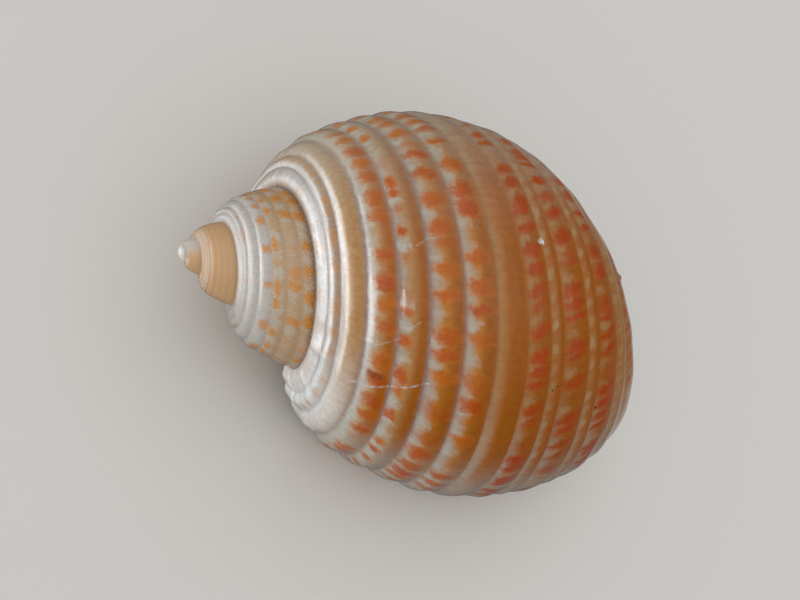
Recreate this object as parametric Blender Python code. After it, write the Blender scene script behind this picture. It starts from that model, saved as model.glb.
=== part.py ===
"""A partridge tun shell, lying on its aperture. Metres, +Z up.

The shell is a tube coiled about an axis, each whorl larger than the one before it and resting on it.
The tube's section is drawn in the plane that holds the coiling axis, as a radius and a depth below the
apex. Section angles run about the tube's centre: 0 points away from the axis, 90 towards the apex and -90
towards the siphonal end. Turns are counted from the lip, at 0, back to the apex, where they are negative.
"""

import math

import bmesh
import bpy
import numpy as np
from mathutils import Euler, Matrix, Vector

# The tube's section at the lip
CENTRE_RADIUS = 0.0172
CENTRE_DEPTH = 0.060
SECTION_ANGLES = (-120, -105, -90, -60, -30, 0, 30, 60, 90, 120)
SECTION_RADII = (0.0289, 0.0361, 0.0434, 0.0405, 0.0322, 0.0281, 0.0276, 0.0317, 0.0328, 0.0230)
COLUMELLA_END = -118
UMBILICUS_DEPTH = 0.060

# Growth per turn, as the natural logarithm of the size ratio: fast in the spire, slower near the lip
SPIRE_GROWTH = 0.815
LIP_GROWTH = 0.64
SLOWING_TURNS = 0.47
FIRST_TURN = -3.75
TIP_DEPTH = 0.0011
LIP_AZIMUTH = 204

# Spiral ribs, between grooves at these section angles. A rib's shoulders stand this share of its width
# inside it.
SPIRE_GROOVES = (74.8, 67.9, 57.2, 44.3, 31.0, 15.7)
BASE_GROOVES = (1.5, -12.7, -27, -39, -50.5, -61, -71, -80, -88.5, -97)
SHOULDER = 0.26
RIB_HEIGHT = 0.0008
BASE_RIB_HEIGHT = 0.0004

# Walls and mouth, at the lip. The mouth's middle and the siphonal notch are placed by radius and depth.
WALL = 0.0015
CALLUS = 0.0009
PILLAR = 0.0030
MOUTH_MIDDLE = (0.0270, 0.0570)
CAVITY_TURNS = 1.6
NOTCH_MIDDLE = (0.0075, 0.0985)
NOTCH_SIZE = (0.0055, 0.0045, 0.0065)

ROWS_PER_TURN = 30
CAVITY_ROWS_PER_TURN = 24
WALL_POINTS = 15
INNER_POINTS = 9

# The pose in which it lies still, on its belly and its lip, both worn flat there
ROLL = 11.9
PITCH = 3.7
WORN = 0.0004
GROUND_SIDE = 0.3


def spline(knots, values, at):
    """A smooth curve through the values, with no bend at its two ends."""
    x, y = np.asarray(knots, float), np.asarray(values, float)
    step = np.diff(x)
    system = np.eye(len(x))
    slope_change = np.zeros(len(x))
    for i in range(1, len(x) - 1):
        system[i, i - 1 : i + 2] = step[i - 1], 2 * (step[i - 1] + step[i]), step[i]
        slope_change[i] = 6 * ((y[i + 1] - y[i]) / step[i] - (y[i] - y[i - 1]) / step[i - 1])
    bend = np.linalg.solve(system, slope_change)
    i = np.clip(np.searchsorted(x, at) - 1, 0, len(step) - 1)
    a, b, width = x[i + 1] - at, at - x[i], step[i]
    curved = (bend[i] * a**3 + bend[i + 1] * b**3) / (6 * width)
    before = (y[i] / width - bend[i] * width / 6) * a
    after = (y[i + 1] / width - bend[i + 1] * width / 6) * b
    return curved + before + after


def size(turn):
    """The whorl's size at this turn, against its size at the lip."""
    slowing = (LIP_GROWTH - SPIRE_GROWTH) * SLOWING_TURNS * np.expm1(turn / SLOWING_TURNS)
    return np.exp(SPIRE_GROWTH * turn + slowing)


def section(angle, lift=0.0):
    """Radius and depth of the section at the lip, with the surface lifted by this much."""
    reach = spline(SECTION_ANGLES, SECTION_RADII, angle) + lift
    turned = np.radians(angle)
    return np.array((CENTRE_RADIUS + reach * np.cos(turned), CENTRE_DEPTH - reach * np.sin(turned)))


def seam(turn):
    """The section angles at which this whorl meets the one before it: its own, and the other's."""
    low, high = 55.0, 118.0
    while high - low > 1e-6:
        angle = (low + high) / 2
        radius, depth = section(angle) * size(turn) / size(turn - 1)
        across, up = radius - CENTRE_RADIUS, CENTRE_DEPTH - depth
        earlier = math.degrees(math.atan2(up, across))
        covered = math.hypot(across, up) < spline(SECTION_ANGLES, SECTION_RADII, earlier)
        low, high = (low, angle) if covered else (angle, high)
    return angle, earlier


def placed(point, turn):
    """A section's radius and depth at this turn as a point in space, with the coiling axis along X."""
    radius, depth = point * size(turn)
    azimuth = math.radians(LIP_AZIMUTH + 360 * turn)
    return depth, radius * math.cos(azimuth), radius * math.sin(azimuth)


def ribs(grooves, height):
    """Section angles and lifts of the grooves and of the two shoulders of each rib between them."""
    found = [(grooves[0], 0.0)]
    for start, end in zip(grooves, grooves[1:]):
        found += [(start + (end - start) * share, height) for share in (SHOULDER, 1 - SHOULDER)]
        found.append((end, 0.0))
    return found


def spire_columns(start, end):
    """Columns from a whorl's seam down to where the next whorl covers it, less the last."""
    first, last = SPIRE_GROOVES[0], SPIRE_GROOVES[-1]
    shoulder = last + (BASE_GROOVES[0] - last) * SHOULDER
    top = ribs((start, first), RIB_HEIGHT)[:-1]
    return top + ribs(SPIRE_GROOVES, RIB_HEIGHT) + [(shoulder, RIB_HEIGHT), (end, RIB_HEIGHT / 2)]


def base_columns():
    """The rest of the last whorl, down to the end of the columella."""
    shoulder = BASE_GROOVES[0] + (SPIRE_GROOVES[-1] - BASE_GROOVES[0]) * SHOULDER
    plain = np.linspace(BASE_GROOVES[-1], COLUMELLA_END, 5)[1:]
    return [(shoulder, RIB_HEIGHT)] + ribs(BASE_GROOVES, BASE_RIB_HEIGHT) + [(angle, 0.0) for angle in plain]


def new_object(name, bm, collection, parent):
    bmesh.ops.recalc_face_normals(bm, faces=bm.faces)
    mesh = bpy.data.meshes.new(name)
    bm.to_mesh(mesh)
    bm.free()
    made = bpy.data.objects.new(name, mesh)
    made.parent = parent
    collection.objects.link(made)
    return made


def join_rows(bm, first, second):
    for i in range(min(len(first), len(second)) - 1):
        bm.faces.new((first[i], second[i], second[i + 1], first[i + 1]))


def fan(bm, loop, centre):
    for a, b in zip(loop, loop[1:] + loop[:1]):
        bm.faces.new((a, b, centre))


def whorls():
    """The outside of the whole coil as one solid. Each whorl's top edge is its seam on the one before it."""
    bm = bmesh.new()
    last = round(-FIRST_TURN * ROWS_PER_TURN)
    rows = []
    for j in range(last + 1):
        turn = FIRST_TURN + j / ROWS_PER_TURN
        columns = spire_columns(seam(turn)[0], seam(min(turn + 1, 0))[1])
        edge = len(columns) - 1
        if j >= last - ROWS_PER_TURN:
            columns += base_columns()
        row = [bm.verts.new(placed(section(angle, lift), turn)) for angle, lift in columns]
        if j >= ROWS_PER_TURN:
            bm.verts.remove(row[0])
            row[0] = rows[j - ROWS_PER_TURN][edge]
        rows.append(row)
    for first, second in zip(rows, rows[1:]):
        join_rows(bm, first, second)
    first_whorl = [row[0] for row in rows[: ROWS_PER_TURN + 1]]
    fan(bm, first_whorl + rows[0][-2:0:-1], bm.verts.new((TIP_DEPTH, 0, 0)))
    umbilicus = [row[-1] for row in rows[last - ROWS_PER_TURN :]]
    fan(bm, umbilicus, bm.verts.new((UMBILICUS_DEPTH, 0, 0)))
    bm.faces.new(rows[last] + rows[last - ROWS_PER_TURN][: edge : -1])
    return bm


def cavity_loop(turn):
    """The hollow's section, inside the last whorl's wall, the pillar and the wall of the whorl within."""
    start, end = seam(turn)
    outer = np.linspace(start, COLUMELLA_END, WALL_POINTS + 1)[1:]
    inner = np.linspace(COLUMELLA_END, end, INNER_POINTS)
    ratio = size(turn - 1) / size(turn)
    wall = [section(angle) for angle in outer]
    within = [section(angle) * ratio for angle in inner]
    pillar = [wall[-1] + (within[0] - wall[-1]) * share for share in (0.25, 0.5, 0.75)]
    thickness = [WALL] * (len(wall) - 1) + [PILLAR] * (len(pillar) + 2) + [CALLUS] * (len(within) - 1)
    mouth = np.array(MOUTH_MIDDLE)
    loop = []
    for point, inset in zip(wall + pillar + within, thickness):
        reach = np.linalg.norm(point - mouth)
        loop.append(mouth + (point - mouth) * (1 - inset / reach))
    return loop


def cavity():
    """The hollow of the tube, from inside the coil to just past the lip."""
    bm = bmesh.new()
    rows = []
    for j in range(round(CAVITY_TURNS * CAVITY_ROWS_PER_TURN) + 1):
        turn = 1 / CAVITY_ROWS_PER_TURN - j / CAVITY_ROWS_PER_TURN
        row = [bm.verts.new(placed(point, turn)) for point in cavity_loop(turn)]
        rows.append(row + row[:1])
    for first, second in zip(rows, rows[1:]):
        join_rows(bm, first, second)
    bm.faces.new(rows[0][:-1])
    bm.faces.new(rows[-1][:-1])
    return bm


def notch():
    """The siphonal notch, at the front end of the lip."""
    bm = bmesh.new()
    bmesh.ops.create_uvsphere(bm, u_segments=20, v_segments=12, radius=1)
    across = Matrix.Rotation(math.radians(LIP_AZIMUTH), 4, "X")
    spot = placed(np.array(NOTCH_MIDDLE), 0)
    stretch = Matrix.Diagonal((*NOTCH_SIZE, 1))
    bmesh.ops.transform(bm, matrix=Matrix.Translation(spot) @ across @ stretch, verts=bm.verts)
    return bm


def ground():
    """What lies below the surface that the shell rests on."""
    bm = bmesh.new()
    bmesh.ops.create_cube(bm, size=GROUND_SIDE, matrix=Matrix.Translation((0, 0, -GROUND_SIDE / 2)))
    return bm


def cut(target, cutter):
    cutter.display_type = "WIRE"
    cutter.hide_render = True
    modifier = target.modifiers.new(cutter.name, "BOOLEAN")
    modifier.operation = "DIFFERENCE"
    modifier.solver = "EXACT"
    modifier.object = cutter


def extent(shape):
    """The lowest and highest coordinates that it reaches, with its cuts made."""
    evaluated = shape.evaluated_get(bpy.context.evaluated_depsgraph_get())
    points = np.array([evaluated.matrix_world @ vertex.co for vertex in evaluated.data.vertices])
    return points.min(axis=0), points.max(axis=0)


def shell_material():
    material = bpy.data.materials.new("shell")
    material.use_nodes = True
    look = material.node_tree.nodes["Principled BSDF"].inputs
    look["Base Color"].default_value = (0.45, 0.22, 0.10, 1)
    look["Roughness"].default_value = 0.35
    look["Metallic"].default_value = 0
    return material


def main():
    for old in list(bpy.data.objects):
        bpy.data.objects.remove(old)
    parts = bpy.data.collections.new("tun shell")
    cutters = bpy.data.collections.new("cutters")
    for collection in (parts, cutters):
        bpy.context.scene.collection.children.link(collection)
    rest = bpy.data.objects.new("rest", None)
    rest.rotation_euler = Euler((math.radians(ROLL), math.radians(PITCH), 0))
    parts.objects.link(rest)
    shell = new_object("shell", whorls(), parts, rest)
    shell.data.materials.append(shell_material())
    cut(shell, new_object("cavity", cavity(), cutters, rest))
    cut(shell, new_object("notch", notch(), cutters, rest))
    low, _ = extent(shell)
    rest.location.z = -low[2] - WORN
    cut(shell, new_object("ground", ground(), cutters, None))
    low, high = extent(shell)
    rest.location -= Vector(((low[0] + high[0]) / 2, (low[1] + high[1]) / 2, 0))
    shell.data.shade_smooth()
    shell.data.set_sharp_from_angle(angle=math.radians(40))


main()
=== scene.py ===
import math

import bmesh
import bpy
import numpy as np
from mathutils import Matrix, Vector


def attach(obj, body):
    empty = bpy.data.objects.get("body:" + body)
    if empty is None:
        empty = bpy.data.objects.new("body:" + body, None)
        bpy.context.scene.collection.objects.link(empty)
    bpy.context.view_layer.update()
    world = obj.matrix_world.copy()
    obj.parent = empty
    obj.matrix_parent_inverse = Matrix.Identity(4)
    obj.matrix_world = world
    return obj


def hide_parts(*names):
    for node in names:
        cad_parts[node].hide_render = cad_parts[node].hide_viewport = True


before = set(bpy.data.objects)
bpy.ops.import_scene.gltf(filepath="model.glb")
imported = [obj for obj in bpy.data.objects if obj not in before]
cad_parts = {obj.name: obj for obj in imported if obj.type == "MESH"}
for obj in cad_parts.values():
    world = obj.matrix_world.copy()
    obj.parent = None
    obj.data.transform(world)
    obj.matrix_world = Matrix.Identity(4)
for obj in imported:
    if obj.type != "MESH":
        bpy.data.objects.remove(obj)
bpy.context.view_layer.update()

# A partridge tun shell, lying on its mouth side. The shell is a tube coiled about an axis. Its
# section is drawn in the plane that holds the axis, as a radius and a depth below the apex. Section
# angles run about the tube's centre: 0 points away from the axis, 90 towards the apex and -90
# towards the siphonal end. Turns are counted from the lip, at 0, back to the apex, where they are
# negative. Ribs are counted from the seam, at 0, to the columella. Lengths are in metres and angles
# in degrees.

# The tube's section at the lip
CENTRE = (0.0172, 0.060)
SECTION_ANGLES = (-120, -105, -90, -60, -30, 0, 30, 60, 90, 120)
SECTION_RADII = (0.0289, 0.0361, 0.0434, 0.0405, 0.0322, 0.0281, 0.0276, 0.0317, 0.0328, 0.0230)
COLUMELLA_END = -118
UMBILICUS_DEPTH = 0.060
TIP_DEPTH = 0.0009

# The section angles between which the seam is sought, and how often their range is halved
SEAM_RANGE = (55.0, 118.0)
SEAM_HALVINGS = 26

# Growth per turn
SPIRE_GROWTH = 0.815
LIP_GROWTH = 0.64
SLOWING_TURNS = 0.47
FIRST_TURN = -3.75
LIP_AZIMUTH = 204

# Spiral ribs, between grooves at these section angles. Their heights are in tenths of a millimetre.
SPIRE_GROOVES = (74.8, 67.9, 57.2, 44.3, 31.0, 15.7)
BASE_GROOVES = (1.5, -12.7, -23.5, -29.5, -41, -46.5, -56.5, -64, -78, -92)
RIB_HEIGHTS = (5, 7, 8.5, 9, 9, 8.5, 7.5, 6, 5.5, 3, 5, 3, 5, 3.5, 5, 5, 0, 0)
RIB_UNIT = 0.0001
RIB_FLATNESS = 1.8
VALLEY = 0.30
SMOOTH_WHORL = -3.3
RIBBED_WHORL = -1.6
SPIRE_LOWERING = 0.6

# Unevenness of the ribs' height, folds below the seam and gentle swells, with their waves per turn
RIB_UNEVENNESS = 0.12
RIB_WAVES = (9, 14, 23)
FOLD_HEIGHT = 0.00065
FOLD_WAVES = (11, 23, 37)
FOLD_GAPS = (6, 10)
FOLD_REACH = 1.4
EARLY_FOLDS = 0.3
SWELL_HEIGHT = 0.00016
SWELL_WAVES = (5, 8, 13, 19)

# A small knob: its turn and rib, its reach in both, and its height
KNOB = (-0.3325, 14.5)
KNOB_REACH = (0.003, 0.12)
KNOB_HEIGHT = 0.0006

# Walls and mouth, at the lip
WALL = 0.0015
CALLUS = 0.0006
PILLAR = 0.0030
MOUTH = np.array((0.0270, 0.0570))
INNER_TURNS = 1.0
FOLDED_INSIDE = 0.25
NOTCH_ANGLE = -104
NOTCH_HALF_ANGLE = 9
NOTCH_TURNS = 0.075
FASCIOLE_ANGLE = -106
FASCIOLE_HALF_ANGLE = 5
FASCIOLE_HEIGHT = 0.0011

# The lip where it is worn back to the ground: the mesh's rows that are searched for the ground, and
# the turns over which the rows behind it are drawn back too
WORN_ROWS = 12
WORN_TURNS = 0.15

# Rows of the mesh per turn, outside and inside, and its columns
ROWS = 252
INNER_ROWS = 64
RIB_SHARES = (0, 0.05, 0.13, 0.27, 0.5, 0.73, 0.87, 0.95)
RIB_COLUMNS = len(RIB_SHARES)
CROSSING_COLUMNS = 12
PILLAR_COLUMNS = 7
RIM_STRIPS = 4
DOME_RINGS = 8
SHARP_ANGLE = 55

# The pose in which it lies
ROLL = 11.9
PITCH = 3.7
POLE = (-0.0518602, 0.0066147, 0.0268492)

# The camera's place, from the pole, in multiples of a picture element at the pole's distance
IMAGE_WIDTH = 800
SENSOR_WIDTH = 36
PICTURE_SCALE = 0.00018376
CAMERA_DISTANCE = 1302.6
CAMERA_RIGHT = 226.92
CAMERA_UP = -49.52
CAMERA_TILT = 24.365
CAMERA_TURN = 4.898
CLIP_START = 0.01

SEED = 5


def spline(knots, values, at):
    """A smooth curve through the values, with no bend at its two ends."""
    x, y = np.asarray(knots, float), np.asarray(values, float)
    step = np.diff(x)
    system = np.eye(len(x))
    change = np.zeros(len(x))
    for i in range(1, len(x) - 1):
        system[i, i - 1 : i + 2] = step[i - 1], 2 * (step[i - 1] + step[i]), step[i]
        change[i] = 6 * ((y[i + 1] - y[i]) / step[i] - (y[i] - y[i - 1]) / step[i - 1])
    bend = np.linalg.solve(system, change)
    i = np.clip(np.searchsorted(x, at) - 1, 0, len(step) - 1)
    a, b, width = x[i + 1] - at, at - x[i], step[i]
    curved = (bend[i] * a**3 + bend[i + 1] * b**3) / (6 * width)
    before = (y[i] / width - bend[i] * width / 6) * a
    after = (y[i + 1] / width - bend[i + 1] * width / 6) * b
    return curved + before + after


def smooth_step(value, low, high):
    share = np.clip((value - low) / (high - low), 0, 1)
    return share * share * (3 - 2 * share)


def size(turn):
    """The whorl's size at this turn, against its size at the lip."""
    slowing = (LIP_GROWTH - SPIRE_GROWTH) * SLOWING_TURNS * np.expm1(turn / SLOWING_TURNS)
    return np.exp(SPIRE_GROWTH * turn + slowing)


def section(angle, lift=0.0):
    """Radius and depth of the section at the lip, in the last axis."""
    reach = spline(SECTION_ANGLES, SECTION_RADII, angle) + lift
    turned = np.radians(angle)
    return np.stack((CENTRE[0] + reach * np.cos(turned), CENTRE[1] - reach * np.sin(turned)), -1)


def seam(turn):
    """The section angles at which a whorl meets the one before it: its own, and the other's."""
    low, high = (np.full(turn.shape, bound) for bound in SEAM_RANGE)
    ratio = (size(turn) / size(turn - 1))[..., None]
    for _ in range(SEAM_HALVINGS):
        angle = (low + high) / 2
        point = section(angle) * ratio
        across, up = point[..., 0] - CENTRE[0], CENTRE[1] - point[..., 1]
        earlier = np.degrees(np.arctan2(up, across))
        covered = np.hypot(across, up) < spline(SECTION_ANGLES, SECTION_RADII, earlier)
        low, high = np.where(covered, low, angle), np.where(covered, angle, high)
    return angle, earlier


def placed(point, turn):
    """Points of the section at these turns, in space."""
    grown = point * size(turn)[..., None]
    azimuth = np.radians(LIP_AZIMUTH + 360 * turn)
    aside, above = grown[..., 0] * np.cos(azimuth), grown[..., 0] * np.sin(azimuth)
    return np.stack((grown[..., 1], aside, above), -1)


def row_angles(turn):
    """Section angles of the mesh's columns, from the seam round to the columella, for each turn."""
    start, cover = seam(turn)[0], seam(np.minimum(turn + 1, 0))[1]
    level = np.ones(turn.shape)
    edges = [start] + [level * groove for groove in SPIRE_GROOVES] + [cover]
    edges += [level * groove for groove in BASE_GROOVES[1:]] + [level * COLUMELLA_END]
    columns = []
    for k, (first, second) in enumerate(zip(edges, edges[1:])):
        crossing = k in (len(SPIRE_GROOVES) + 1, len(edges) - 2)
        shares = np.arange(CROSSING_COLUMNS) / CROSSING_COLUMNS if crossing else RIB_SHARES
        columns += [first + (second - first) * share for share in shares]
    return np.stack(columns + [edges[-1]], -1)


# The column at which the next whorl covers this one
COVER = RIB_COLUMNS * (len(SPIRE_GROOVES) + 1)


def rib_place(angle, start):
    """The rib's number, counted from the seam, plus the share of its width already crossed."""
    grooves = SPIRE_GROOVES + BASE_GROOVES + (COLUMELLA_END,)
    numbers = np.arange(1, len(grooves) + 1)
    lower = np.interp(-angle, [-groove for groove in grooves], numbers)
    first = (start - angle) / (start - grooves[0])
    return np.where(angle > grooves[0], first, lower)


def ripple(turn, across, waves, seed):
    """Gentle unevenness along the whorl: a sum of waves, each with a count per turn."""
    rng = np.random.default_rng(seed)
    total = np.zeros(np.broadcast(turn, across).shape)
    for count in waves:
        count = count * (1 + 0.1 * rng.random())
        drift = rng.uniform(-1.5, 1.5)
        phase = 2 * np.pi * (count * turn + rng.random())
        total = total + np.sin(phase + drift * across) / len(waves)
    return total


def lifted(rib, turn):
    """How far the ribs and the shell's unevenness stand above the plain section."""
    number = np.clip(np.floor(rib), 0, len(RIB_HEIGHTS) - 1).astype(int)
    share = rib - np.floor(rib)
    near = np.minimum(share, 1 - share) * 2
    flank = near**2 * (1 + VALLEY) / (near + VALLEY)
    crest = 1 - (1 - flank) ** RIB_FLATNESS
    height = np.asarray(RIB_HEIGHTS)[number] * RIB_UNIT
    grown = smooth_step(turn, SMOOTH_WHORL, RIBBED_WHORL)
    on_spire = 1 - smooth_step(turn, -1.0, -0.7)
    grown = grown * (1 - SPIRE_LOWERING * smooth_step(rib, 3, 5) * on_spire)
    relief = height * crest * grown * (1 + RIB_UNEVENNESS * ripple(turn, rib, RIB_WAVES, SEED))
    late = EARLY_FOLDS + (1 - EARLY_FOLDS) * smooth_step(turn, -0.30, -0.12)
    folds = np.exp(-((rib / FOLD_REACH) ** 2)) * smooth_step(rib, 0.1, 0.5) * late
    gaps = smooth_step(ripple(turn, rib, FOLD_GAPS, SEED + 3), -0.5, 0.5)
    folds = folds * smooth_step(turn, -1.2, -0.8) * gaps
    relief = relief + FOLD_HEIGHT * folds * ripple(turn, rib, FOLD_WAVES, SEED + 1)
    swell = SWELL_HEIGHT * ripple(turn, rib * 0.5, SWELL_WAVES, SEED + 2)
    relief = relief + swell * smooth_step(rib, 0.2, 1.5)
    away = ((turn - KNOB[0]) / KNOB_REACH[0]) ** 2 + ((rib - KNOB[1]) / KNOB_REACH[1]) ** 2
    return relief + KNOB_HEIGHT * np.exp(-away)


def notch_shift(angle, turn):
    """Turns by which the surface is drawn back towards the siphonal notch."""
    depth = np.exp(-(((angle - NOTCH_ANGLE) / NOTCH_HALF_ANGLE) ** 2))
    return -NOTCH_TURNS * depth * smooth_step(turn, -0.3, 0)


def pose():
    """The rotation from the shell's own axes to the pose in which it lies."""
    pitch, roll = math.radians(PITCH), math.radians(ROLL)
    return Matrix.Rotation(pitch, 3, "Y") @ Matrix.Rotation(roll, 3, "X")


def posed(points):
    """Points turned to the pose in which the shell lies."""
    return points @ np.array(pose()).T + POLE


def worn_lip():
    """The section angles of the lip's columns, and the turns by which each is worn back."""
    angle = row_angles(np.zeros(1))
    turn = -np.arange(WORN_ROWS)[:, None] / ROWS
    point = section(angle, lifted(rib_place(angle, angle[:, :1]), turn))
    height = posed(placed(point, turn + np.zeros(angle.shape)))[..., 2]
    back = np.array([np.interp(0, column, turn[:, 0]) for column in height.T])
    return angle[0, ::-1], back[::-1]


WORN = worn_lip()


def worn_shift(angle, turn):
    """Turns by which the surface is drawn back from the ground at the lip."""
    return np.interp(angle, *WORN) * smooth_step(turn, -WORN_TURNS, 0)


def surface(turn, angle, rib, fold=1.0):
    """Section points and turns of the outer surface."""
    ridge = np.exp(-(((angle - FASCIOLE_ANGLE) / FASCIOLE_HALF_ANGLE) ** 2))
    lift = lifted(rib, turn) * fold + FASCIOLE_HEIGHT * ridge
    return section(angle, lift), turn + notch_shift(angle, turn) + worn_shift(angle, turn)


def inset(point, thickness):
    """Section points moved towards the mouth's middle."""
    away = point - MOUTH
    reach = np.linalg.norm(away, axis=-1, keepdims=True)
    return MOUTH + away * (1 - thickness / reach)


class Cloth:
    """Vertices and faces, with three numbers at each corner of a face: turn, rib and inside."""

    def __init__(self):
        self.points, self.faces, self.facts, self.count = [], [], [], 0

    def add(self, points):
        """Adds vertices and gives their numbers back in the shape of the points."""
        flat = np.asarray(points, float).reshape(-1, 3)
        numbers = np.arange(self.count, self.count + len(flat)).reshape(np.shape(points)[:-1])
        self.points.append(flat)
        self.count += len(flat)
        return numbers

    def grid(self, numbers, facts):
        """Faces between neighbouring rows and columns."""
        corners = [(slice(None, -1), slice(None, -1)), (slice(1, None), slice(None, -1))]
        corners += [(slice(1, None), slice(1, None)), (slice(None, -1), slice(1, None))]
        self.faces += np.stack([numbers[c] for c in corners], -1).reshape(-1, 4).tolist()
        self.facts.append(np.stack([facts[c] for c in corners], -2).reshape(-1, 3))

    def fan(self, numbers, facts, centre):
        """Triangles from a line of vertices to one more."""
        for a, b, fact_a, fact_b in zip(numbers, numbers[1:], facts, facts[1:]):
            self.faces.append((int(a), int(b), int(centre)))
            self.facts.append(np.array((fact_a, fact_b, (fact_a + fact_b) / 2)))


def stack_facts(turn, rib, inside):
    return np.stack(np.broadcast_arrays(turn, rib, inside), -1).astype(float)


def closed(grid):
    """The grid with its first column once more after the last."""
    return np.concatenate((grid, grid[:, :1]), 1)


def outer_surface(cloth):
    """The whorls from outside. Returns rows of vertex numbers, facts and places, from the apex."""
    last = round(-FIRST_TURN * ROWS)
    turn = (FIRST_TURN + np.arange(last + 1) / ROWS)[:, None]
    angle = row_angles(turn[:, 0])
    rib = rib_place(angle, angle[:, :1])
    place = placed(*surface(turn, angle, rib))
    numbers = np.full(angle.shape, -1)
    spire, base = slice(0, last - ROWS), slice(last - ROWS, None)
    numbers[spire, : COVER + 1] = cloth.add(place[spire, : COVER + 1])
    numbers[base] = cloth.add(place[base])
    numbers[ROWS:, 0] = numbers[: last + 1 - ROWS, COVER]
    facts = stack_facts(turn, rib, 0.0)
    cloth.grid(numbers[: last - ROWS + 1, : COVER + 1], facts[: last - ROWS + 1, : COVER + 1])
    cloth.grid(numbers[base], facts[base])
    return numbers, facts, place


def dome(cloth, numbers, facts, place):
    """The rounded tip, closed over the first whorl."""
    loop = np.concatenate((numbers[: ROWS + 1, 0], numbers[0, COVER - 1 : 0 : -1], numbers[:1, 0]))
    fact = np.concatenate((facts[: ROWS + 1, 0], facts[0, COVER - 1 : 0 : -1], facts[:1, 0]))
    under = place[0, COVER - 1 : 0 : -1]
    edge = np.concatenate((place[:ROWS, 0], place[:1, COVER], under, place[:1, 0]))
    rings = [loop]
    for rise in np.arange(1, DOME_RINGS) / DOME_RINGS * np.pi / 2:
        ring = edge * (1, math.cos(rise), math.cos(rise))
        ring[:, 0] = TIP_DEPTH + (edge[:, 0] - TIP_DEPTH) * (1 - math.sin(rise))
        fresh = cloth.add(ring[:-1])
        rings.append(np.append(fresh, fresh[0]))
    tip = cloth.add(np.array([(TIP_DEPTH, 0.0, 0.0)]))[0]
    bare = fact * (0, 1, 1) + (FIRST_TURN, 0, 0)
    cloth.grid(np.array(rings), np.stack([fact] + [bare] * (len(rings) - 1)))
    cloth.fan(rings[-1], bare, tip)


def tube_outline(turn):
    """Section points round the tube: the wall, the pillar and the whorl before. With them come the
    wall's own turns and ribs."""
    wall_angle = row_angles(turn)
    wall_rib = rib_place(wall_angle, wall_angle[:, :1])
    fold = FOLDED_INSIDE + (1 - FOLDED_INSIDE) * smooth_step(turn, -0.12, 0)
    wall, wall_turn = surface(turn[:, None], wall_angle, wall_rib, fold[:, None])
    parietal_angle = row_angles(turn - 1)
    parietal_rib = rib_place(parietal_angle, parietal_angle[:, :1])
    parietal, _ = surface(turn[:, None] - 1, parietal_angle, parietal_rib)
    ratio = (size(turn - 1) / size(turn))[:, None, None]
    parietal = (parietal * ratio)[:, :COVER:-1]
    share = (np.arange(1, PILLAR_COLUMNS) / PILLAR_COLUMNS)[None, :, None]
    pillar = wall[:, -1:] + (parietal[:, :1] - wall[:, -1:]) * share
    return np.concatenate((wall, pillar, parietal), 1), wall_turn, wall_rib


def tube_thickness(columns, wall_columns):
    """The thickness at each column of the tube's outline, growing towards the pillar."""
    thickness = np.full(columns, WALL)
    reach = 2 * CROSSING_COLUMNS
    end = wall_columns - 1
    thicker = smooth_step(np.arange(wall_columns), end - reach, end)
    thickness[:wall_columns] = WALL + (PILLAR - WALL) * thicker
    beyond = np.arange(columns - end - PILLAR_COLUMNS)
    thickness[wall_columns:] = PILLAR
    thickness[-len(beyond) :] = CALLUS + (PILLAR - CALLUS) * (1 - smooth_step(beyond, 0, reach))
    thickness[:RIB_COLUMNS] = CALLUS + (WALL - CALLUS) * (np.arange(RIB_COLUMNS) / RIB_COLUMNS)
    return thickness


def rim(cloth, edge, inner, thickness):
    """The lip's rounded edge. Both its sides are given as vertex numbers, facts and places."""
    azimuth = math.radians(LIP_AZIMUTH)
    forward = np.array((0, -math.sin(azimuth), math.cos(azimuth)))
    bulge = 0.5 * thickness * smooth_step(thickness, 0.5 * CALLUS, WALL)
    strips, strip_facts = [edge[0]], [edge[1]]
    for k in range(1, RIM_STRIPS):
        around = math.pi * k / RIM_STRIPS
        middle = edge[2] + (inner[2] - edge[2]) * (1 - math.cos(around)) / 2
        strips.append(cloth.add(middle + forward * (bulge * math.sin(around))[:, None]))
        strip_facts.append(inner[1] * (1, 1, 0) + (0, 0, k / RIM_STRIPS))
    strips.append(inner[0])
    strip_facts.append(inner[1])
    cloth.grid(closed(np.array(strips)), closed(np.array(strip_facts)))


def aperture(cloth, numbers, facts):
    """The surface inside the tube, the pillar and the lip's rim."""
    last = len(numbers) - 1
    inner_turn = -np.arange(round(INNER_TURNS * INNER_ROWS) + 1) / INNER_ROWS
    outline, wall_turn, wall_rib = tube_outline(inner_turn)
    columns = wall_turn.shape[1]
    thickness = tube_thickness(outline.shape[1], columns)
    turn = np.repeat(inner_turn[:, None], outline.shape[1], 1)
    turn[:, :columns] = wall_turn
    rib = np.repeat(wall_rib[:, -1:], outline.shape[1], 1)
    rib[:, :columns] = wall_rib
    inner = placed(inset(outline, thickness[:, None]), turn)
    inner_numbers = cloth.add(inner)
    inner_facts = stack_facts(turn, rib, 1.0)
    cloth.grid(closed(inner_numbers), closed(inner_facts))
    end = cloth.add(inner[-1].mean(0)[None])[0]
    cloth.fan(closed(inner_numbers)[-1], closed(inner_facts)[-1], end)
    edge_place = placed(outline[0], turn[0])
    pillar_numbers = cloth.add(edge_place[columns : columns + PILLAR_COLUMNS - 1])
    edge = np.concatenate((numbers[last], pillar_numbers, numbers[last - ROWS, :COVER:-1]))
    edge_facts = np.concatenate((facts[last], inner_facts[0, columns:] * (1, 1, 0)))
    inner_edge = (inner_numbers[0], inner_facts[0], inner[0])
    rim(cloth, (edge, edge_facts, edge_place), inner_edge, thickness)
    return pillar_numbers


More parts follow.
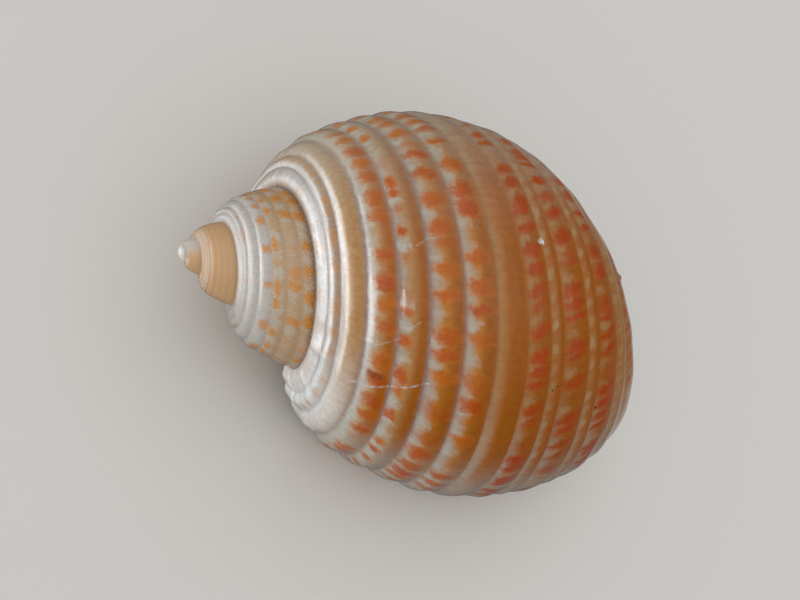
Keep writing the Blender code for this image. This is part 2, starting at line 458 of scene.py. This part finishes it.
def umbilicus(cloth, numbers, facts, pillar_numbers):
    """Closes the base between the last turn's inner edge and the axis."""
    last = len(numbers) - 1
    centre = cloth.add(np.array([(UMBILICUS_DEPTH, 0.0, 0.0)]))[0]
    line = np.concatenate((numbers[last - ROWS :, -1], pillar_numbers, numbers[last - ROWS, -1:]))
    fact = facts[last - ROWS :, -1]
    fact = np.concatenate((fact, np.repeat(fact[-1:], len(pillar_numbers) + 1, 0)))
    cloth.fan(line, fact, centre)


def resting(points):
    """Points in the pose in which the shell lies, with what would be below the ground worn flat."""
    turned = posed(points)
    turned[:, 2] = np.maximum(turned[:, 2], 0)
    return turned


def shell_mesh():
    cloth = Cloth()
    numbers, facts, place = outer_surface(cloth)
    dome(cloth, numbers, facts, place)
    pillar_numbers = aperture(cloth, numbers, facts)
    umbilicus(cloth, numbers, facts, pillar_numbers)
    points = resting(np.concatenate(cloth.points))
    mesh = bpy.data.meshes.new("tun_shell")
    mesh.from_pydata(points.tolist(), [], cloth.faces)
    values = np.concatenate(cloth.facts)
    for k, name in enumerate(("turn", "rib", "inside")):
        held = mesh.attributes.new(name, "FLOAT", "CORNER")
        held.data.foreach_set("value", values[:, k].astype(np.float32))
    bm = bmesh.new()
    bm.from_mesh(mesh)
    bmesh.ops.recalc_face_normals(bm, faces=bm.faces)
    bm.to_mesh(mesh)
    bm.free()
    mesh.shade_smooth()
    mesh.set_sharp_from_angle(angle=math.radians(SHARP_ANGLE))
    return mesh


def linear(colour):
    """An sRGB colour, 0 to 255, as Blender's linear values."""
    parts = [part / 255 for part in colour]
    parts = [part / 12.92 if part <= 0.04045 else ((part + 0.055) / 1.055) ** 2.4 for part in parts]
    return (*parts, 1)


class Pattern:
    """Short calls that add shader nodes and join them."""

    def __init__(self, owner):
        self.tree = owner.node_tree

    def node(self, kind, inputs=(), **settings):
        made = self.tree.nodes.new(kind)
        for name, value in settings.items():
            setattr(made, name, value)
        for key, value in inputs:
            self.feed(made.inputs[key], value)
        return made

    def feed(self, socket, value):
        if isinstance(value, bpy.types.NodeSocket):
            self.tree.links.new(value, socket)
        else:
            socket.default_value = value

    def attribute(self, name):
        return self.node("ShaderNodeAttribute", attribute_name=name).outputs["Fac"]

    def math(self, operation, *values, clamp=False):
        inputs = list(enumerate(values))
        return self.node("ShaderNodeMath", inputs, operation=operation, use_clamp=clamp).outputs[0]

    def smooth(self, value, low, high):
        """0 below low, 1 above high."""
        inputs = [(0, value), (1, low), (2, high)]
        return self.node("ShaderNodeMapRange", inputs, interpolation_type="SMOOTHSTEP").outputs[0]

    def fall(self, value, low, high):
        """1 below low, 0 above high."""
        return self.math("SUBTRACT", 1.0, self.smooth(value, low, high))

    def both(self, *values):
        """The product of the values."""
        total = values[0]
        for value in values[1:]:
            total = self.math("MULTIPLY", total, value)
        return total

    def most(self, first, second):
        return self.math("MAXIMUM", first, second)

    def scaled(self, value, factor, more=0.0):
        return self.math("MULTIPLY_ADD", value, factor, more)

    def mix(self, share, first, second, blend="MIX"):
        inputs = [(0, share), (6, first), (7, second)]
        return self.node("ShaderNodeMix", inputs, data_type="RGBA", blend_type=blend).outputs[2]

    def roundness(self, *parts):
        """The sum of squares of the parts, each a value, its centre and its reach."""
        total = 0.0
        for value, centre, reach in parts:
            part = self.math("DIVIDE", self.math("SUBTRACT", value, centre), reach)
            total = self.math("ADD", self.math("MULTIPLY", part, part), total)
        return total

    def spot(self, turn, rib, centre, reach):
        """Roundness about a turn and rib."""
        return self.roundness((turn, centre[0], reach[0]), (rib, centre[1], reach[1]))

    def stroke(self, place, start, end, width):
        """How much a place lies on the short line from start to end."""
        start, end = Vector((*start, 0)), Vector((*end, 0))
        step = end - start
        kind = "ShaderNodeVectorMath"
        offset = self.node(kind, [(0, place), (1, start)], operation="SUBTRACT").outputs[0]
        along = self.node(kind, [(0, offset), (1, step)], operation="DOT_PRODUCT").outputs["Value"]
        share = self.math("DIVIDE", along, step.length_squared, clamp=True)
        back = self.node(kind, [(0, step), ("Scale", share)], operation="SCALE").outputs[0]
        away = self.node(kind, [(0, offset), (1, back)], operation="DISTANCE").outputs["Value"]
        return self.fall(away, 0.3 * width, width)

    def vector(self, x, y):
        return self.node("ShaderNodeCombineXYZ", [(0, x), (1, y)]).outputs[0]

    def noise(self, vector, detail=2.0, roughness=0.5):
        inputs = [("Vector", vector), ("Scale", 1.0), ("Detail", detail), ("Roughness", roughness)]
        return self.node("ShaderNodeTexNoise", inputs).outputs[0]

    def grain(self, turn, rib, scales, detail=2.0, roughness=0.5):
        """Noise over the shell, with its scales per turn and per rib."""
        place = self.vector(self.scaled(turn, scales[0]), self.scaled(rib, scales[1]))
        return self.noise(place, detail, roughness)

    def ramp(self, share, colours):
        """Steps of colour, spread evenly over 0 to 1."""
        made = self.node("ShaderNodeValToRGB", [(0, share)])
        stops = made.color_ramp.elements
        made.color_ramp.interpolation = "CONSTANT"
        while len(stops) < len(colours):
            stops.new(1.0)
        for i, colour in enumerate(colours):
            stops[i].position = i / len(colours)
            stops[i].color = (*colour[:3], 1)
        return made.outputs[0]

    def parts(self, colour):
        return self.node("ShaderNodeSeparateColor", [(0, colour)]).outputs


# The shell's colours
# A white brighter than the shell's own: painted light near the lip
SNOW_WITH_PAINTED_LIGHT = (236, 242, 244)
WHITE = (210, 213, 214)
PEARL = (190, 190, 190)
# Partly the shell's grey-lilac, partly painted groove shade
SHADED_LILAC = (166, 154, 140)
SAND = (184, 150, 112)
FAWN = (174, 131, 82)
TAN = (172, 112, 48)
BUFF = (188, 154, 116)
CREAM = (184, 162, 124)
PALE = (188, 178, 160)
MIST = (184, 184, 174)
# Painted shade for the grooves, over their own grey-lilac
GROOVE_SHADE_MAUVE = (146, 134, 132)
DUN = (166, 142, 120)
OCHRE = (180, 116, 40)
BROWN = (166, 94, 14)
ORANGE = (190, 98, 4)
RUST = (178, 66, 4)
AMBER = (204, 134, 40)
BEIGE = (202, 164, 122)
CHALK = (206, 204, 198)
DARK = (62, 46, 36)
UMBER = (112, 54, 34)
NACRE = (236, 208, 178)

# For each rib, from the seam to the columella: the colours of its near flank, crest and far flank,
# the strength of its blotches and of its white patches, and where across the rib the blotches are
# centred and how far they reach
RIBS = (
    (DUN, WHITE, PEARL, 0.25, 0.0, 0.55, 0.30),
    (WHITE, WHITE, DUN, 0.40, 0.0, 0.70, 0.26),
    (PEARL, SAND, FAWN, 0.00, 0.0, 0.50, 0.30),
    (PEARL, SAND, BROWN, 0.80, 0.6, 0.62, 0.30),
    # The lilac near flanks of these three ribs are partly the shell's grey-lilac, partly painted
    # shade falling into the grooves
    (SHADED_LILAC, FAWN, BROWN, 0.90, 0.9, 0.24, 0.22),
    (SHADED_LILAC, OCHRE, BROWN, 0.90, 0.6, 0.46, 0.42),
    (SHADED_LILAC, OCHRE, BROWN, 0.90, 0.6, 0.46, 0.42),
    (FAWN, BROWN, BROWN, 0.10, 0.0, 0.60, 0.40),
    (BROWN, BROWN, BROWN, 1.00, 0.4, 0.50, 0.42),
    (TAN, TAN, BROWN, 0.30, 0.5, 0.60, 0.40),
    (BROWN, BROWN, BROWN, 1.00, 0.4, 0.46, 0.42),
    (TAN, TAN, BROWN, 0.30, 0.6, 0.50, 0.40),
    (BROWN, BROWN, BROWN, 1.00, 0.4, 0.46, 0.42),
    (TAN, FAWN, OCHRE, 0.20, 0.3, 0.50, 0.40),
    (OCHRE, OCHRE, OCHRE, 0.60, 0.4, 0.50, 0.40),
    (CREAM, CREAM, CREAM, 0.20, 0.2, 0.50, 0.40),
    (CREAM, CREAM, WHITE, 0.00, 0.0, 0.50, 0.40),
    (WHITE, WHITE, WHITE, 0.00, 0.0, 0.50, 0.40),
)

# The first rib of the base, whose marks are closer and slanted
BASE_RIB = 8

# Blotches per turn on the body, its base and the spire, where the spire's begin, and the slant of
# those on the base
BODY_MARKS = 45.0
BASE_MARKS = 66.0
SPIRE_MARKS = 26.0
SPIRE_MARKS_TURN = -0.85
BASE_SLANT = 0.55

# Turns between which the colours change: at the lip, in its last growth, in the older part of the
# last whorl, on the spire, on its smooth early whorls, where marks begin, and at the tip
LIP_TURNS = (-0.18, -0.10)
FRESH_TURNS = (-0.26, -0.12)
OLD_TURNS = (-0.54, -0.32)
SPIRE_TURNS = (-1.05, -0.70)
SMOOTH_TURNS = (-1.95, -1.70)
MARKED_TURNS = (-1.90, -1.65)
TIP_TURNS = (-3.45, -3.25)

# How strongly these colours show
FRESH = 0.65
OLD = 0.80
SPIRE = 0.75
EARLY_LINES = 0.70
STREAKED = 0.14
RAGGED = 0.16

# The waves of the early whorls' white lines, in radians per rib
EARLY_WAVES = 12.5

# Scales of the noises, per turn and per rib
BROAD_NOISE = (16.0, 1.3)
UNEVEN_NOISE = (14.0, 0.7)
COARSE_NOISE = (70.0, 2.0)
RAGGED_NOISE = (170.0, 5.0)
FINE_NOISE = (420.0, 9.0)
GRAIN_NOISE = (330.0, 9.0)
STREAK_NOISE = (330.0, 0.9)
GROWTH_NOISE = (400.0, 3.0)

# Marks of wear, by turn and rib: a healed break in the lip, scratches, a stain, a chip and dark
# specks. Lines have a width in ribs, and spots a reach in turns and in ribs. One turn is as long as
# RIBS_PER_TURN ribs are wide.
RIBS_PER_TURN = 45.0
SCAR = ((-0.1925, 2.75), (-0.2230, 5.10))
SCAR_WIDTH = 0.055
SCRATCHES = (
    ((-0.2413, 3.27), (-0.2553, 4.08)),
    ((-0.2637, 4.22), (-0.2733, 4.67)),
    ((-0.3369, 4.65), (-0.3438, 5.03)),
)
SCRATCH_WIDTH = 0.035
STAIN = (-0.2148, 3.52)
STAIN_REACH = (0.0042, 0.28)
CHIP = (-0.3479, 9.07)
CHIP_REACH = (0.0030, 0.24)
SPECKS = (
    (-0.2372, 9.61),
    (-0.2339, 9.28),
    (-0.2111, 12.08),
    (-1.0830, 6.42),
    (-1.0780, 6.30),
    (-1.0745, 6.47),
)
SPECK_REACH = (0.0012, 0.055)

# The finish
ROUGHNESS = 0.11
SPECULAR = 0.28
GROWTH_LINE_STRENGTH = 0.9
GROWTH_LINE_HEIGHT = 0.00014

# The floor and the sky
FLOOR_REACH = 12.0
FLOOR_COLOUR = (228, 226, 222)
FLOOR_ROUGHNESS = 0.8
SKY_LOW = 0.14
SKY_RISE = 0.62
SKY_TOP = 0.9

# Each light's name, place, the height of the point above the origin that it faces, its width and
# height, its power, and whether it acts on reflections only
LIGHTS = (
    ("key", (-0.64, -0.08, 0.055), 0.02, (0.50, 0.035), 2.2, False),
    ("softbox", (-0.66, 0.00, -0.20), 0.03, (0.60, 0.14), 10.0, True),
    ("glint", (-0.66, 0.00, -0.02), 0.03, (0.60, 0.03), 2.8, True),
    ("spark", (-0.625, -0.150, 0.24), 0.03, (0.24, 0.035), 0.9, True),
    ("edge", (0.45, 0.15, -0.50), 0.03, (0.50, 0.30), 0.12, True),
    ("top", (0.20, 0.10, 1.20), 0.02, (1.60, 1.60), 3.4, False),
)


def plain_colour(draw, key, share, turn, rib):
    """Three bands across each rib, paler on the spire, down to the white tip."""
    near, crest, far = (draw.ramp(key, [linear(row[k]) for row in RIBS]) for k in range(3))
    uneven = draw.grain(turn, rib, UNEVEN_NOISE)
    tanned = draw.both(draw.smooth(rib, 6.5, 7.5), draw.fall(uneven, 0.42, 0.60))
    near = draw.mix(tanned, near, linear(TAN))
    base = draw.mix(draw.smooth(share, 0.06, 0.46), near, crest)
    base = draw.mix(draw.smooth(share, 0.38, 0.78), base, far)
    base = draw.mix(draw.smooth(share, -0.04, 0.14), far, base)

    # The last growth, white below the seam; on the first two ribs its white is brighter than the
    # shell's own, painted light near the lip
    flank = draw.most(draw.fall(share, 0.05, 0.50), draw.fall(rib, 2.8, 3.2))
    late = draw.most(flank, draw.smooth(turn, *LIP_TURNS))
    fresh = draw.both(draw.smooth(turn, *FRESH_TURNS), late, FRESH)
    newest_with_painted_light = draw.mix(draw.smooth(rib, 2.6, 3.2), linear(SNOW_WITH_PAINTED_LIGHT), linear(MIST))
    base = draw.mix(fresh, base, newest_with_painted_light)

    # Painted shade in the grooves between the upper ribs, over the shell's own grey-lilac there,
    # fainter at the lip
    edge = draw.math("MINIMUM", share, draw.math("SUBTRACT", 1.0, share))
    groove = draw.both(draw.fall(edge, 0.0, 0.15), draw.fall(rib, 4.5, 7.5))
    groove = draw.both(groove, draw.smooth(rib, 0.5, 1.0))
    groove = draw.both(groove, draw.scaled(draw.smooth(turn, -0.22, -0.10), -0.55, 0.75))
    base = draw.mix(groove, base, linear(GROOVE_SHADE_MAUVE))

    # The older part of the last whorl, the whorl before it, and the early ones with white lines
    old = draw.both(draw.fall(turn, *OLD_TURNS), draw.smooth(rib, 0.9, 1.6), OLD)
    base = draw.mix(old, base, linear(PALE))
    pale = draw.mix(draw.smooth(rib, 3.6, 4.4), linear(PEARL), linear(BUFF))
    base = draw.mix(draw.scaled(draw.fall(turn, *SPIRE_TURNS), SPIRE), base, pale)
    smooth_whorls = draw.fall(turn, *SMOOTH_TURNS)
    base = draw.mix(smooth_whorls, base, linear(BEIGE))
    waves = draw.math("SINE", draw.scaled(rib, EARLY_WAVES))
    fading = draw.scaled(draw.fall(rib, 2.6, 3.4), 0.92, 0.08)
    lines = draw.both(draw.smooth(waves, 0.0, 0.9), fading, smooth_whorls)
    base = draw.mix(draw.scaled(lines, EARLY_LINES), base, linear(WHITE))
    return draw.mix(draw.fall(turn, *TIP_TURNS), base, linear(CHALK))


def wear_and_seam_shade(draw, colour, turn, rib, fine):
    """The scar, scratches, chip and specks, and the dirt and painted shade in the seam."""
    place = draw.vector(draw.math("MULTIPLY", turn, RIBS_PER_TURN), rib)

    def line(ends, width):
        return draw.stroke(place, *((end[0] * RIBS_PER_TURN, end[1]) for end in ends), width)

    broken = draw.noise(draw.vector(draw.scaled(rib, 5.0), 3.0), 4.0, 0.7)
    scar = draw.both(line(SCAR, SCAR_WIDTH), draw.smooth(broken, 0.40, 0.62), 0.65)
    colour = draw.mix(scar, colour, linear(WHITE))
    stain = draw.fall(draw.spot(turn, rib, STAIN, STAIN_REACH), 0.2, 1.4)
    stain = draw.both(stain, draw.smooth(fine, 0.32, 0.52), 0.75)
    colour = draw.mix(stain, colour, linear(UMBER))
    for ends in SCRATCHES:
        scratch = draw.both(line(ends, SCRATCH_WIDTH), draw.smooth(fine, 0.30, 0.62), 0.45)
        colour = draw.mix(scratch, colour, linear(PEARL))
    chip = draw.scaled(fine, 4.0, draw.spot(turn, rib, CHIP, CHIP_REACH))
    colour = draw.mix(draw.fall(chip, 2.1, 3.0), colour, linear(WHITE))
    for centre in SPECKS:
        speck = draw.spot(turn, rib, centre, SPECK_REACH)
        colour = draw.mix(draw.fall(speck, 0.4, 1.2), colour, linear(DARK))

    # Dirt below the seam of the last whorl, and grains above it that thicken towards the seam: both
    # partly dirt, partly painted shade of the seam's crease
    seam_dirt_and_shade = draw.both(draw.fall(rib, 0.03, 0.12), draw.smooth(fine, 0.36, 0.54))
    seam_dirt_and_shade = draw.scaled(draw.both(seam_dirt_and_shade, draw.smooth(turn, -1.1, -0.9)), 0.85)
    seam_grains_and_shade = draw.grain(turn, rib, GRAIN_NOISE, 1.0)
    seam_grains_and_shade = draw.smooth(draw.scaled(draw.smooth(rib, 6.40, 6.62), 0.12, seam_grains_and_shade), 0.56, 0.70)
    above = draw.both(seam_grains_and_shade, draw.smooth(rib, 6.1, 6.6))
    above = draw.both(above, draw.fall(turn, -1.05, -0.98), draw.smooth(turn, -1.7, -1.5), 0.45)
    return draw.mix(draw.most(seam_dirt_and_shade, above), colour, linear(DARK))


def shell_colour(draw, turn, rib):
    """The outside's colour: bands across each rib, with patches and blotches along it."""
    number = draw.math("FLOOR", rib)
    key = draw.math("DIVIDE", draw.math("ADD", number, 0.5), float(len(RIBS)))
    orange, white, centre = draw.parts(draw.ramp(key, [row[3:6] for row in RIBS]))[:3]
    reach = draw.parts(draw.ramp(key, [(row[6], 0, 0) for row in RIBS]))[0]
    broad = draw.grain(turn, rib, BROAD_NOISE)
    wobble = draw.math("SUBTRACT", draw.grain(turn, rib, COARSE_NOISE), 0.5)
    ragged = draw.grain(turn, rib, RAGGED_NOISE)
    fine = draw.grain(turn, rib, FINE_NOISE)
    share = draw.math("SUBTRACT", rib, number)
    base = plain_colour(draw, key, share, turn, rib)
    share = draw.scaled(wobble, 0.26, share)
    share = draw.math("ADD", share, draw.scaled(ragged, 0.36, -0.18))
    lower = draw.math("GREATER_THAN", number, BASE_RIB - 0.5)
    marked = draw.smooth(turn, *MARKED_TURNS)
    early = draw.fall(turn, *SPIRE_TURNS)

    # The place along the rib, in marks, and the cells that each hold one mark
    spire_turn = draw.math("MINIMUM", draw.math("SUBTRACT", turn, SPIRE_MARKS_TURN), 0.0)
    body_turn = draw.most(turn, SPIRE_MARKS_TURN)
    marks = draw.scaled(lower, BASE_MARKS - BODY_MARKS, BODY_MARKS)
    along = draw.scaled(body_turn, marks, draw.scaled(number, 31.7))
    along = draw.scaled(spire_turn, SPIRE_MARKS, along)
    slant = draw.both(lower, share, BASE_SLANT)
    along = draw.math("ADD", draw.scaled(wobble, 0.60, along), slant)
    kind, inputs = "ShaderNodeTexVoronoi", [("W", along), ("Scale", 1.0), ("Randomness", 0.85)]
    cells = draw.node(kind, inputs, voronoi_dimensions="1D")
    edges = draw.node(kind, inputs, voronoi_dimensions="1D", feature="DISTANCE_TO_EDGE")
    chance = draw.parts(cells.outputs["Color"])

    # White patches, between the cells and on the near flank
    width = draw.scaled(early, 0.14, 0.28)
    flank = draw.scaled(early, 0.15, 0.20)
    patch = draw.roundness((edges.outputs["Distance"], 0.0, width), (share, flank, width))
    patch = draw.fall(draw.math("ADD", patch, draw.scaled(fine, 1.2, -0.6)), 0.0, 1.7)
    strength = draw.noise(draw.vector(draw.scaled(along, 0.8), 7.0), 0.0)
    inner = draw.most(draw.smooth(share, -0.02, 0.14), draw.fall(rib, 5.0, 7.0))
    patch = draw.both(patch, inner, white, draw.smooth(strength, 0.28, 0.62))
    patch = draw.both(patch, draw.scaled(broad, 1.2, 0.3), marked)
    colour = draw.mix(patch, base, draw.mix(lower, linear(MIST), linear(CREAM)))

    # Blotches, about the cells' middles, with yellower rims
    shorter = draw.scaled(early, -0.15, 1.0)
    length = draw.math("MULTIPLY", draw.scaled(chance[0], 0.26, 0.20), shorter)
    reach = draw.math("MULTIPLY", reach, draw.scaled(early, -0.05, 1.0))
    blotch = draw.roundness((cells.outputs["Distance"], 0.0, length), (share, centre, reach))
    blotch = draw.math("ADD", blotch, draw.scaled(fine, 1.8, -0.9))
    rim_share = draw.both(draw.smooth(blotch, 0.3, 1.5), draw.fall(rib, 7.5, 8.5), 0.6)
    present = draw.smooth(draw.scaled(early, -0.20, chance[1]), 0.0, 0.25)
    blotch = draw.both(draw.fall(blotch, -0.2, draw.scaled(early, 0.5, 2.1)), orange, present)
    blotch = draw.both(blotch, draw.scaled(broad, -0.6, 1.25), marked)
    hue = draw.mix(draw.most(chance[2], lower), linear(ORANGE), linear(RUST))
    older = draw.scaled(draw.fall(turn, -0.54, -0.36), 0.5)
    yellower = draw.most(draw.most(draw.fall(rib, 1.9, 2.1), older), rim_share)
    hue = draw.mix(draw.most(early, yellower), hue, linear(AMBER))
    colour = draw.mix(blotch, colour, hue)

    # Unevenness and growth streaks over all of it
    shade = draw.scaled(draw.smooth(ragged, 0.35, 0.65), RAGGED)
    colour = draw.mix(shade, colour, linear(SAND), "MULTIPLY")
    streaks = draw.smooth(draw.grain(turn, rib, STREAK_NOISE, 3.0, 0.6), 0.35, 0.65)
    colour = draw.mix(draw.scaled(streaks, STREAKED), colour, linear(SAND), "MULTIPLY")
    return wear_and_seam_shade(draw, colour, turn, rib, fine)


def shell_material():
    material = bpy.data.materials.new("shell")
    material.use_nodes = True
    draw = Pattern(material)
    look = material.node_tree.nodes["Principled BSDF"].inputs
    turn, rib, inside = (draw.attribute(name) for name in ("turn", "rib", "inside"))
    outer = shell_colour(draw, turn, rib)
    draw.feed(look["Base Color"], draw.mix(draw.smooth(inside, 0.3, 0.9), outer, linear(NACRE)))

    # Growth lines, clearest near the seam
    lines = draw.grain(turn, rib, GROWTH_NOISE, 3.0, 0.65)
    lines = draw.math("MULTIPLY", lines, draw.scaled(draw.fall(rib, 2.6, 3.6), 0.65, 0.35))
    inputs = [("Strength", GROWTH_LINE_STRENGTH), ("Distance", GROWTH_LINE_HEIGHT)]
    bump = draw.node("ShaderNodeBump", inputs + [("Height", lines)])
    draw.feed(look["Normal"], bump.outputs[0])
    look["Roughness"].default_value = ROUGHNESS
    look["Specular IOR Level"].default_value = SPECULAR
    return material


def floor():
    mesh = bpy.data.meshes.new("floor")
    corners = [(-1, -1), (1, -1), (1, 1), (-1, 1)]
    corners = [(x * FLOOR_REACH, y * FLOOR_REACH, 0) for x, y in corners]
    mesh.from_pydata(corners, [], [(0, 1, 2, 3)])
    made = bpy.data.objects.new("floor", mesh)
    bpy.context.scene.collection.objects.link(made)
    material = bpy.data.materials.new("floor")
    material.use_nodes = True
    look = material.node_tree.nodes["Principled BSDF"].inputs
    look["Base Color"].default_value = linear(FLOOR_COLOUR)
    look["Roughness"].default_value = FLOOR_ROUGHNESS
    look["Specular IOR Level"].default_value = 0.0
    mesh.materials.append(material)
    made.visible_glossy = False


def lights(shell):
    """The area lights. The key lights the shell only, as it would make a pool on the floor."""
    for name, place, aim, (width, height), power, gloss_only in LIGHTS:
        light = bpy.data.lights.new(name, "AREA")
        light.shape = "RECTANGLE"
        light.size, light.size_y = width, height
        light.energy = power
        made = bpy.data.objects.new(name, light)
        made.visible_camera = False
        made.visible_diffuse = not gloss_only
        made.location = place
        facing = Vector((0, 0, aim)) - Vector(place)
        made.rotation_euler = facing.to_track_quat("-Z", "Y").to_euler()
        bpy.context.scene.collection.objects.link(made)
        if name == "key":
            lit = bpy.data.collections.new("lit_by_key")
            lit.objects.link(shell)
            made.light_linking.receiver_collection = lit


def studio():
    """The sky, brighter overhead, and the way in which colours are shown."""
    world = bpy.data.worlds.new("studio")
    world.use_nodes = True
    draw = Pattern(world)
    direction = draw.node("ShaderNodeTexCoord").outputs["Generated"]
    height = draw.node("ShaderNodeSeparateXYZ", [(0, direction)]).outputs[2]
    look = world.node_tree.nodes["Background"].inputs
    look["Color"].default_value = (1.0, 1.0, 1.0, 1)
    draw.feed(look["Strength"], draw.scaled(draw.smooth(height, 0.0, SKY_TOP), SKY_RISE, SKY_LOW))
    bpy.context.scene.world = world
    bpy.context.scene.view_settings.view_transform = "Standard"


def camera():
    """The photograph's view, set in the shell's own axes."""
    tilt, turned = math.radians(CAMERA_TILT), math.radians(CAMERA_TURN)
    flat = Vector((math.cos(tilt), 0, math.sin(tilt)))
    side = Vector((0, 1, 0))
    back = Vector((-math.sin(tilt), 0, math.cos(tilt)))
    right = math.cos(turned) * flat + math.sin(turned) * side
    up = -math.sin(turned) * flat + math.cos(turned) * side
    place = CAMERA_RIGHT * right + CAMERA_UP * up + CAMERA_DISTANCE * back
    place = pose() @ (place * PICTURE_SCALE)
    axes = pose() @ Matrix((right, up, back)).transposed()
    made = bpy.data.objects.new("camera", bpy.data.cameras.new("camera"))
    made.data.lens = CAMERA_DISTANCE * SENSOR_WIDTH / IMAGE_WIDTH
    made.data.sensor_width = SENSOR_WIDTH
    made.data.clip_start = CLIP_START
    made.matrix_world = Matrix.Translation(Vector(POLE) + place) @ axes.to_4x4()
    bpy.context.scene.collection.objects.link(made)
    bpy.context.scene.camera = made


shell = bpy.data.objects.new("tun_shell", shell_mesh())
shell.data.materials.append(shell_material())
bpy.context.scene.collection.objects.link(shell)
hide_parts("shell")
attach(shell, "root")
floor()
lights(shell)
studio()
camera()
